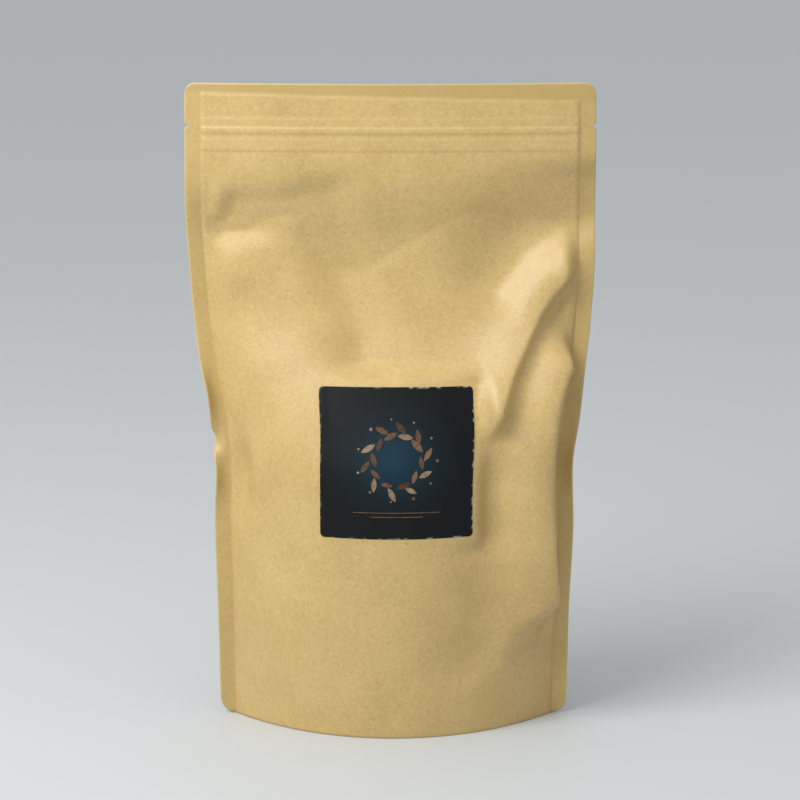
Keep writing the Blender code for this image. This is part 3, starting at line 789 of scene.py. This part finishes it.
def make_track(name, profile, node):
    """A track from half its profile: (y, z) points in millimetres, from the top down to z = 0."""
    ring = profile + [(y, -z) for y, z in reversed(profile)]
    sides = [(i, (i + 1) % len(ring)) for i in range(len(ring))]
    base = bpy.data.meshes.new(name)
    base.from_pydata([(-y * MM, z * MM, 0) for y, z in ring], sides, [])
    low, back, high = smooth_through(CENTRE_LINE, ZIP_HEIGHT + np.array([-1, 0, 1]) * LEAN_REACH)
    mesh = grown_mesh(base, TRACK_TREE, Half_Length=ZIP_END, Stations=TRACK_STATIONS, Height=ZIP_HEIGHT,
                      Back=float(back), Lean=float((high - low) / (2 * LEAN_REACH)),
                      Bow=TOP_BOW * (ZIP_END / (PANEL_WIDTH / 2)) ** 2, Material=FILM)
    return add_piece(name, mesh, FILM, "clear_film", node)


def make_zip():
    """Both profiles, in millimetres, each a hair clear of its panel."""
    flange, clear = ZIP_FLANGE / 2 / MM, 0.04
    outer = OPEN_GAP / MM - clear
    inner = outer - ZIP_FILM / MM
    channel = [(-outer, flange), (-inner, flange), (-inner, 1.1), (0.12, 1.1), (0.12, 0.5), (-0.02, 0.5),
               (-0.02, 0.8), (-inner, 0.8)]
    tongue = [(outer, flange), (inner, flange), (inner, 0.15), (-0.03, 0.15), (-0.03, 0.4), (-0.24, 0.12)]
    make_track("zip_channel", channel, "zip_track_front")
    make_track("zip_tongue", tongue, "zip_track_back")


make_zip()


# Front label
# A square of coated paper with its corners cut round, printed nearly black and stuck on by hand.
# Its edges follow the paper under them, and the print is a plain wreath over two thin rules.

LABEL_CORNER = 2 * MM
LABEL_PAPER = 0.12 * MM
LABEL_GLUE = 0.03 * MM
LABEL_CURL = 0.35 * MM
# The loose edges: how wide they are, and how long their waves are up and across the label
LOOSE_EDGE = 5 * MM
WAVE_UP = 8.3 * MM
WAVE_ACROSS = 40 * MM
# Steps between the label's points, with closer ones along its rim
LABEL_STEP = 0.6 * MM
EDGE_STEP = 0.3 * MM
RIM_STEP = 0.08 * MM
# Nicks in the print along the rim: their size, their width, and how much weaker they are on the left
NICK_SIZE = 2.2 * MM
NICK_WIDTH = 0.5 * MM
LEFT_NICKS = 0.4


def label_points(across, up, offset=0):
    """Points on the label from its own middle, with its edges a little loose."""
    place, height = LABEL_PLACE + across, LABEL_BASE + LABEL_HEIGHT / 2 + up
    loose = smooth_step((np.abs(across) - LABEL_WIDTH / 2) / LOOSE_EDGE + 1)
    wave = 0.5 + 0.5 * np.sin(up / WAVE_UP + across / WAVE_ACROSS)
    return panel_points(place, height, -1, PAPER + LABEL_GLUE + loose * wave * LABEL_CURL + offset)


def make_label_print():
    """Nearly black, with a painted sheen as a soft blue glow in the middle, and pale paper in its nicks."""
    material, tree, shader = new_material("label_print", Specular_IOR_Level=0.2)
    place = add_node(tree, "ShaderNodeTexCoord").outputs["Object"]
    # Painted sheen: a spherical gradient that turns the black bluer and lighter towards the label's middle
    centred = add_node(tree, "ShaderNodeMapping",
                       {"Vector": place, "Location": (-0.06, 0, -4.35), "Scale": (30, 0, 33)})
    painted_sheen = add_node(tree, "ShaderNodeTexGradient", {"Vector": centred.outputs[0]}, gradient_type="SPHERICAL")
    tone = add_ramp(tree, painted_sheen.outputs["Fac"], [(0.0, (0.003, 0.004, 0.005)), (0.4, (0.004, 0.010, 0.014)),
                                                (1.0, (0.005, 0.036, 0.062))])
    grain = add_noise(tree, place, 1500, 3)
    tone = blend_color(tree, add_range(tree, grain, 0.55, 0.8, 0, 0.25), tone, (0.022, 0.024, 0.024))
    worn = add_node(tree, "ShaderNodeAttribute", attribute_name="worn").outputs["Fac"]
    tone = blend_color(tree, worn, tone, (0.50, 0.46, 0.40))
    feed(tree, shader.inputs["Base Color"], tone)
    feed(tree, shader.inputs["Roughness"], add_range(tree, grain, 0.3, 0.7, 0.38, 0.5))
    add_bump(tree, shader, grain, 0.15, 0.1 * MM)
    return material


def make_label():
    half, half_up = LABEL_WIDTH / 2, LABEL_HEIGHT / 2
    step = LABEL_STEP
    corner = half - LABEL_CORNER
    columns = even_steps([-half, -half + EDGE_STEP, -corner, corner, half - EDGE_STEP, half], step)
    columns = np.concatenate([[-half, -half + RIM_STEP], columns[1:-1], [half - RIM_STEP, half]])
    rows = even_steps([-half_up, -half_up + EDGE_STEP, half_up - EDGE_STEP, half_up], step)
    across, up = np.meshgrid(columns, rows)
    beyond = np.clip(np.abs(across) - corner, 0, LABEL_CORNER)
    lift = LABEL_CORNER - np.sqrt(LABEL_CORNER ** 2 - beyond ** 2)
    up = up * (1 - lift / half_up)
    mesh = sheet_mesh("label_sheet", label_points(across, up), label_points(across, up, LABEL_PAPER))
    edge = np.maximum(np.abs(across) - half, np.abs(up) + lift - half_up)
    across, up, edge = across.ravel(), up.ravel(), edge.ravel()
    nick = np.array([noise.noise(Vector((x, 7, z)) / NICK_SIZE) for x, z in zip(across, up)])
    worn = smooth_step(edge / NICK_WIDTH + 1) * smooth_step((nick - 0.12) / 0.15)
    worn = worn * np.where(across > 0, 1, LEFT_NICKS)
    set_attribute(mesh, "worn", np.concatenate([worn * 0, worn]))
    return add_piece("label_sheet", mesh, make_label_print(), "label_print", "front_label")


make_label()

INK = 0.02 * MM
INK_BASE = LABEL_PAPER + 0.015 * MM
WREATH_MIDDLE = 2 * MM
BERRY_RING = 1.48
# The rules under the wreath, in millimetres: length, and height from the wreath's middle
RULES = [(40, -23.5), (24, -25.5)]
RULE_WIDTH = 0.3 * MM


def scattered(tree, low, high, seed, shift=0):
    """A random number between two limits for each point, from the tree's seed."""
    values = {2: low, 3: high, "Seed": add_math(tree, "ADD", seed, shift)}
    return add_node(tree, "FunctionNodeRandomValue", values, data_type="FLOAT").outputs[1]


def with_shade(tree, geometry, shade, domain):
    """Keeps a number from 0, dark brown, to 1, pale tan, on the parts of the print."""
    values = {"Geometry": geometry, "Name": "shade", "Value": shade}
    kept = add_node(tree, "GeometryNodeStoreNamedAttribute", values, data_type="FLOAT", domain=domain)
    return kept.outputs[0]


def add_leaf(tree, length, width):
    """A flat leaf, pointed at both ends, that starts at the origin and runs along X."""
    blank = add_node(tree, "GeometryNodeMeshGrid",
                     {"Size X": 2, "Size Y": 1, "Vertices X": 13, "Vertices Y": 5}).outputs["Mesh"]
    x, y, _ = split_position(tree)
    narrowing = add_math(tree, "SUBTRACT", 1, add_math(tree, "MULTIPLY", x, x))
    outline = add_vector(tree, x, add_math(tree, "MULTIPLY", y, narrowing))
    leaf = add_node(tree, "GeometryNodeSetPosition", {"Geometry": blank, "Position": outline}).outputs[0]
    leaf = add_node(tree, "GeometryNodeMergeByDistance", {"Geometry": leaf}).outputs[0]
    half = add_math(tree, "MULTIPLY", length, 0.5)
    return add_node(tree, "GeometryNodeTransform",
                    {"Geometry": leaf, "Translation": add_vector(tree, half),
                     "Scale": add_vector(tree, half, width, 1)}).outputs[0]


def spots_on_ring(tree, radius, count):
    ring = add_node(tree, "GeometryNodeCurvePrimitiveCircle", {"Radius": radius}).outputs[0]
    return add_node(tree, "GeometryNodeResampleCurve", {"Curve": ring, "Count": count}).outputs[0]


def add_leaves(tree, given):
    """Leaves along a ring, turned out and in by turns."""
    leaf = add_leaf(tree, given["Leaf Length"], given["Leaf Width"])
    tangent = add_node(tree, "GeometryNodeInputTangent").outputs[0]
    along = add_node(tree, "FunctionNodeAlignRotationToVector", {"Vector": tangent}, axis="X", pivot_axis="Z")
    turn = add_math(tree, "MODULO", add_node(tree, "GeometryNodeInputIndex").outputs[0], 2)
    turn = add_math(tree, "MULTIPLY_ADD", turn, 2, -1)
    turn = add_math(tree, "MULTIPLY_ADD", turn, given["Splay"], scattered(tree, -0.22, 0.22, given["Seed"]))
    turn = add_node(tree, "FunctionNodeEulerToRotation", {"Euler": add_vector(tree, z=turn)}).outputs[0]
    turn = add_node(tree, "FunctionNodeRotateRotation", {"Rotation": along.outputs[0], "Rotate By": turn},
                    rotation_space="LOCAL").outputs[0]
    leaves = add_node(tree, "GeometryNodeInstanceOnPoints",
                      {"Points": spots_on_ring(tree, given["Radius"], given["Leaves"]), "Instance": leaf,
                       "Rotation": turn, "Scale": scattered(tree, 0.75, 1.1, given["Seed"], 1)}).outputs[0]
    return with_shade(tree, leaves, scattered(tree, 0.0, 0.85, given["Seed"], 2), "INSTANCE")


def add_berries(tree, given):
    """Small round berries on a wider ring."""
    berry = add_node(tree, "GeometryNodeMeshCircle", {"Radius": given["Berry Radius"], "Vertices": 14},
                     fill_type="TRIANGLE_FAN").outputs[0]
    wide = add_math(tree, "MULTIPLY", given["Radius"], BERRY_RING)
    berries = add_node(tree, "GeometryNodeInstanceOnPoints",
                       {"Points": spots_on_ring(tree, wide, given["Berries"]), "Instance": berry,
                        "Scale": scattered(tree, 0.6, 1.1, given["Seed"], 3)}).outputs[0]
    return with_shade(tree, berries, scattered(tree, 0.3, 1.0, given["Seed"], 4), "INSTANCE")


def add_rule(tree, length, height):
    size = {"Size X": length * MM, "Size Y": RULE_WIDTH, "Vertices X": 50, "Vertices Y": 2}
    strip = add_node(tree, "GeometryNodeMeshGrid", size).outputs["Mesh"]
    strip = add_node(tree, "GeometryNodeTransform", {"Geometry": strip, "Translation": (0, height * MM, 0)})
    return with_shade(tree, strip.outputs[0], 0.45, "POINT")


def make_wreath_tree():
    """A wreath of leaves with berries round it, over its rules, all flat in XY."""
    tree, given = new_tree("wreath", Radius=("Float", 12.5 * MM), Leaves=("Int", 20),
                           Leaf_Length=("Float", 7.2 * MM), Leaf_Width=("Float", 2.6 * MM),
                           Berries=("Int", 11), Berry_Radius=("Float", 0.7 * MM),
                           Splay=("Float", 0.62), Seed=("Int", 4), Material=("Material", None))
    parts = [add_leaves(tree, given), add_berries(tree, given)]
    parts += [add_rule(tree, length, height) for length, height in RULES]
    whole = add_node(tree, "GeometryNodeJoinGeometry")
    for part in parts:
        feed(tree, whole.inputs[0], part)
    end_tree(tree, whole.outputs[0], given["Material"])
    return tree


def make_ink():
    material, tree, shader = new_material("label_ink", Specular_IOR_Level=0.2, Roughness=0.45)
    shade = add_node(tree, "ShaderNodeAttribute", attribute_name="shade").outputs["Fac"]
    tone = add_ramp(tree, shade, [(0.0, (0.060, 0.028, 0.015)), (0.5, (0.19, 0.105, 0.055)),
                                  (1.0, (0.36, 0.27, 0.175))])
    patch = add_noise(tree, add_node(tree, "ShaderNodeTexCoord").outputs["Object"], 700, 3)
    tone = blend_color(tree, add_range(tree, patch, 0.45, 0.7, 0, 0.6), tone, (0.030, 0.016, 0.010))
    feed(tree, shader.inputs["Base Color"], tone)
    return material


def make_wreath():
    ink = make_ink()
    mesh = grown_mesh(bpy.data.meshes.new("wreath"), make_wreath_tree(), Material=ink)
    flat = np.array([point.co for point in mesh.vertices])
    points = label_points(flat[:, 0], flat[:, 1] + WREATH_MIDDLE, INK_BASE)
    mesh.vertices.foreach_set("co", points.ravel())
    mesh.update()
    piece = add_piece("label_wreath", mesh, ink, "label_print", "front_label")
    thickness = piece.modifiers.new("thickness", "SOLIDIFY")
    thickness.thickness = INK
    thickness.offset = 1
    return piece


make_wreath()


# Pods
# Dried pods, poured in loose before the top was sealed. Each one is a blunt ribbed husk, shrunk
# into ridges along its length. They fill the lower part, and the paper bulges over them.

POD_LENGTH = 28 * MM
POD_WIDTH = 13 * MM
POD_STEP = Vector((29, 13.5, 14.5)) * MM
POD_JITTER = 2 * MM
FILL_TOP = 168 * MM
FILL_HALF_WIDTH = 78 * MM
FILL_REACH = 71 * MM
FILL_CLEARANCE = 1.5 * MM
# How far a pod may stick out and still be moved in, as a share of its width, how often it is
# moved, and how far it may stick out in the end
STICK_OUT = 0.45
MOVES = 4
MOVE_LIMIT = 0.3 * MM
ROOM_STEP = 1 * MM
ROOM_X = np.arange(-88, 88.5) * MM
ROOM_HEIGHTS = np.arange(0, 200.5) * MM
WALL_COLUMNS = 121
# About how far along the paper a place is for each metre of x
PAPER_PER_X = 1.12


def wall_table(side):
    """Where a panel's inner face stands, on a grid of x and height."""
    place, height = np.meshgrid(np.linspace(-HALF_SPAN, HALF_SPAN, WALL_COLUMNS), ROOM_HEIGHTS)
    wall = panel_points(place, height, side, -FILL_CLEARANCE)
    return np.array([np.interp(ROOM_X, row[:, 0], row[:, 1]) for row in wall])


def beyond_room(points, walls):
    """How far points must move, in y and z, to lie inside the panels and above the gusset."""
    i = np.clip(np.rint((points[..., 0] - ROOM_X[0]) / ROOM_STEP).astype(int), 0, len(ROOM_X) - 1)
    j = np.clip(np.rint(points[..., 2] / ROOM_STEP).astype(int), 0, len(ROOM_HEIGHTS) - 1)
    front, back = walls[0][j, i], walls[1][j, i]
    inwards = np.clip(points[..., 1], front, back) - points[..., 1]
    half_depth = (back - front) / 2
    share = np.clip((points[..., 1] - (front + back) / 2) / np.maximum(half_depth, MM), -1, 1)
    floor = gusset_floor(points[..., 0] * PAPER_PER_X, share, half_depth) + GUSSET_PAPER + FILL_CLEARANCE
    return inwards, np.maximum(floor - points[..., 2], 0)


def strongest(pushes):
    """The push of the greatest size in each row."""
    return pushes[np.arange(len(pushes)), np.argmax(np.abs(pushes), axis=1)]


def pour_pods():
    """Middles and turns of the pods: a loose lattice, with those that stick out moved in whole."""
    draw = np.random.RandomState(11)
    walls = [wall_table(side) for side in (-1, 1)]
    steps = [np.arange(-3, 4), np.arange(-3, 4), np.arange(0, 12)]
    spots = np.stack(np.meshgrid(*steps, indexing="ij"), axis=-1).reshape(-1, 3).astype(float)
    spots[:, 0] += 0.5 * (spots[:, 2] % 2) - 0.25
    spots = spots * np.array(POD_STEP) + [0, 0, 0.6 * POD_WIDTH]
    spots += draw.uniform(-POD_JITTER, POD_JITTER, spots.shape)
    turns = draw.uniform((-math.pi, -0.35, -0.2), (math.pi, 0.35, 0.2), spots.shape)
    inwards, up = beyond_room(spots, walls)
    kept = np.hypot(inwards, up) < STICK_OUT * POD_WIDTH
    kept &= (spots[:, 2] < FILL_TOP) & (np.abs(spots[:, 0]) < FILL_HALF_WIDTH)
    spots, turns = spots[kept], turns[kept]
    ring = [(-0.5, 0, 0), (0.5, 0, 0)]
    ring += [(along, 0.5 * math.cos(k * math.pi / 3), 0.5 * math.sin(k * math.pi / 3))
             for along in (-0.3, 0, 0.3) for k in range(6)]
    ring = np.array(ring) * [POD_LENGTH, POD_WIDTH, POD_WIDTH]
    rotated = []
    for turn in turns:
        matrix = np.array(Matrix.Rotation(turn[2], 3, "Z") @ Matrix.Rotation(turn[1], 3, "Y")
                          @ Matrix.Rotation(turn[0], 3, "X"))
        rotated.append(ring @ matrix.T)
    rotated = np.array(rotated)
    for _ in range(MOVES):
        inwards, up = beyond_room(spots[:, None] + rotated, walls)
        spots[:, 1] += strongest(inwards)
        spots[:, 2] += strongest(up)
    inwards, up = beyond_room(spots[:, None] + rotated, walls)
    inside = (np.abs(inwards).max(axis=1) < MOVE_LIMIT) & (up.max(axis=1) < MOVE_LIMIT)
    inside &= np.abs(spots[:, 0, None] + rotated[..., 0]).max(axis=1) < FILL_REACH
    return spots[inside], turns[inside]


def lifted(tree, geometry, height):
    """Moves a surface out along its normals by a varying height."""
    normal = add_node(tree, "GeometryNodeInputNormal").outputs[0]
    lift = add_node(tree, "ShaderNodeVectorMath", {0: normal, "Scale": height}, operation="SCALE").outputs[0]
    return add_node(tree, "GeometryNodeSetPosition", {"Geometry": geometry, "Offset": lift}).outputs[0]


def make_pod_tree():
    """Puts a ribbed pod on every point, turned by its own angles, each wrinkled differently."""
    tree, given = new_tree("pods", Length=("Float", POD_LENGTH), Width=("Float", POD_WIDTH), Ribs=("Int", 9),
                           Rib_Height=("Float", 0.5 * MM), Wrinkle=("Float", 1.1 * MM),
                           Material=("Material", None))
    ball = add_node(tree, "GeometryNodeMeshUVSphere", {"Segments": 22, "Rings": 11, "Radius": 0.5})
    x, y, _ = split_position(tree)
    ribs = add_math(tree, "MULTIPLY", add_math(tree, "ARCTAN2", y, x), given["Ribs"])
    ribs = add_math(tree, "MULTIPLY", add_math(tree, "SINE", ribs), given["Rib Height"])
    size = add_vector(tree, given["Width"], given["Width"], given["Length"])
    husk = add_node(tree, "GeometryNodeTransform", {"Geometry": ball.outputs["Mesh"], "Scale": size})
    husk = lifted(tree, husk.outputs[0], ribs)
    flat = add_node(tree, "GeometryNodeTransform", {"Geometry": husk, "Rotation": (0, math.pi / 2, 0)})
    turn = add_node(tree, "GeometryNodeInputNamedAttribute", {"Name": "turn"}, data_type="FLOAT_VECTOR")
    turn = add_node(tree, "FunctionNodeEulerToRotation", {"Euler": turn.outputs["Attribute"]})
    heap = add_node(tree, "GeometryNodeInstanceOnPoints",
                    {"Points": given["Geometry"], "Instance": flat.outputs[0], "Rotation": turn.outputs[0]})
    real = add_node(tree, "GeometryNodeRealizeInstances", {"Geometry": heap.outputs[0]}).outputs[0]
    rough = add_node(tree, "ShaderNodeTexNoise", {"Scale": 260, "Detail": 3, "Roughness": 0.6})
    rough = add_math(tree, "SUBTRACT", rough.outputs["Fac"], 0.62)
    wrinkled = lifted(tree, real, add_math(tree, "MULTIPLY", rough, given["Wrinkle"]))
    end_tree(tree, wrinkled, given["Material"])
    return tree


def make_husk():
    material, tree, shader = new_material("pod_husk", Specular_IOR_Level=0.3)
    place = add_node(tree, "ShaderNodeTexCoord").outputs["Object"]
    patch = add_noise(tree, place, 160, 4)
    tone = add_ramp(tree, patch, [(0.35, (0.055, 0.028, 0.016)), (0.5, (0.115, 0.062, 0.036)),
                                  (0.68, (0.215, 0.125, 0.072))])
    feed(tree, shader.inputs["Base Color"], tone)
    feed(tree, shader.inputs["Roughness"], add_range(tree, patch, 0, 1, 0.7, 0.9))
    add_bump(tree, shader, add_noise(tree, place, 1100, 3), 0.6, 0.4 * MM)
    return material


def make_fill():
    spots, turns = pour_pods()
    base = bpy.data.meshes.new("pods")
    base.from_pydata(spots.tolist(), [], [])
    layer = base.attributes.new("turn", "FLOAT_VECTOR", "POINT")
    layer.data.foreach_set("vector", turns.ravel().astype(np.float32))
    husk = make_husk()
    mesh = grown_mesh(base, make_pod_tree(), Length=POD_LENGTH, Width=POD_WIDTH, Material=husk)
    mesh.shade_smooth()
    return add_piece("pods", mesh, husk, "pod_husk", "pod_fill")


make_fill()
